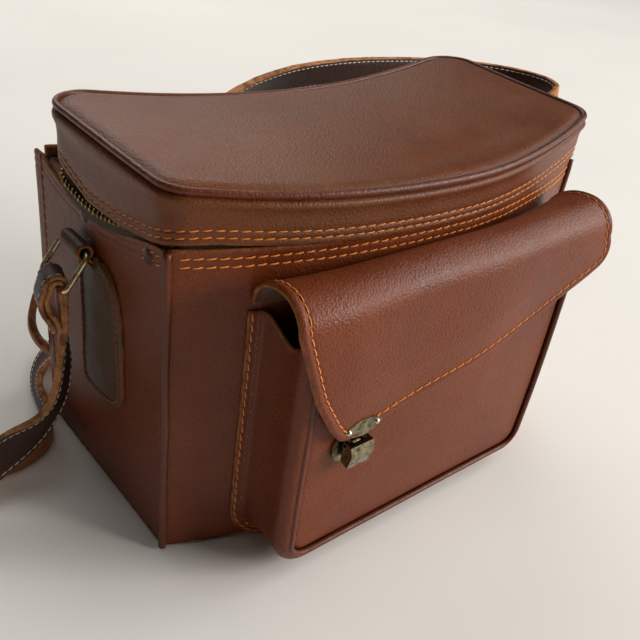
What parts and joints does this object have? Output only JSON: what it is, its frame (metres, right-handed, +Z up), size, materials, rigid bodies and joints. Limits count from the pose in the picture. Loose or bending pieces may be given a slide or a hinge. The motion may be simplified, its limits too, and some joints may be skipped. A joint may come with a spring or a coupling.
{
  "type": "camera bag",
  "caption": "Leather shoulder camera bag with a kidney plan, zipped saddle lid, front pocket under a slanted flap, metal clasp, ring-hung strap.",
  "frame": {"origin": "middle of the underside of the base panel, half way between the end panels", "axes": "+X to the right along the long side, -Y out of the front with the pocket, +Z up"},
  "size_m": [0.5672, 0.2663, 0.222],
  "materials": {
    "brown_leather": "semi-gloss pebbled reddish-brown leather",
    "piping_leather": "semi-gloss brown leather piping",
    "chape_leather": "worn brown leather with a grey-olive patina and red-brown edges",
    "strap_leather": "smooth dark brown leather with tan raw edges and flesh side",
    "board": "grey-brown pressed fibre board",
    "lining": "short brown pile",
    "zip_tape": "dark brown woven tape",
    "zip_brass": "tarnished antique brass",
    "clasp_metal": "worn antique nickel over brass",
    "ring_metal": "worn nickel-plated wire",
    "rivet_paint": "brown painted rivet heads"
  },
  "bodies": {
    "root": {"front_panel": "brown_leather", "back_panel": "brown_leather", "left_end_panel": "brown_leather", "right_end_panel": "brown_leather", "base_panel": "brown_leather", "base_board": "board", "left_corner_welt": "piping_leather", "right_corner_welt": "piping_leather", "base_lining": "lining", "front_lining": "lining", "back_lining": "lining", "left_end_lining": "lining", "right_end_lining": "lining", "divider": "lining", "body_zip_tape": "zip_tape", "body_zip_teeth": "zip_brass", "back_hinge_strip": "brown_leather", "pocket_gusset": "brown_leather", "pocket_front_panel": "brown_leather", "pocket_welt": "piping_leather", "flap_root": "brown_leather", "lock_base_plate": "clasp_metal", "lock_body": "clasp_metal", "left_chape": "chape_leather", "right_chape": "chape_leather", "end_rivets": "rivet_paint", "shoulder_strap": "strap_leather"},
    "lid": {"front_lid_band": "brown_leather", "back_lid_band": "brown_leather", "left_lid_band": "brown_leather", "right_lid_band": "brown_leather", "lid_top_panel": "brown_leather", "lid_board": "board", "lid_welt": "piping_leather", "lid_band_board": "board", "lid_lining": "lining", "lid_zip_tape": "zip_tape", "lid_zip_teeth": "zip_brass"},
    "flap": {"pocket_flap": "brown_leather", "clasp_plate": "clasp_metal", "clasp_rivets": "clasp_metal"},
    "catch": {"lock_catch": "clasp_metal"},
    "left_ring_body": {"left_ring": "ring_metal", "left_strap_end": "strap_leather"},
    "right_ring_body": {"right_ring": "ring_metal", "right_strap_end": "strap_leather"},
    "slider": {"zip_slider": "zip_brass"},
    "pull": {"zip_pull": "zip_brass"}
  },
  "joints": [
    {"name": "lid_hinge", "type": "hinge", "parent": "root", "child": "lid", "pos_m": [0, 0.0682, 0.1935], "axis": [-1, 0, 0], "range_deg": [0, 100]},
    {"name": "flap_hinge", "type": "hinge", "parent": "root", "child": "flap", "pos_m": [0, -0.09985, 0.1863], "axis": [-1, 0, 0], "range_deg": [0, 97]},
    {"name": "catch_hinge", "type": "hinge", "parent": "root", "child": "catch", "pos_m": [-0.066, -0.123, 0.092], "axis": [-1, 0, 0], "range_deg": [0, 50]},
    {"name": "left_ring_swing", "type": "hinge", "parent": "root", "child": "left_ring_body", "pos_m": [-0.15206, 0.01174, 0.157], "axis": [-0.0384, 0.9993, 0], "range_deg": [-10, 120]},
    {"name": "right_ring_swing", "type": "hinge", "parent": "root", "child": "right_ring_body", "pos_m": [0.15206, 0.01174, 0.157], "axis": [-0.0384, -0.9993, 0], "range_deg": [-95, 45]},
    {"name": "zip_slide", "type": "slide", "parent": "root", "child": "slider", "axis": [-0.0384, -0.9993, 0], "range_m": [0, 0.068]},
    {"name": "zip_pull_swing", "type": "hinge", "parent": "slider", "child": "pull", "pos_m": [0.14879, 0.0309, 0.1924], "axis": [-0.0384, -0.9993, 0], "range_deg": [0, 80]}
  ]
}
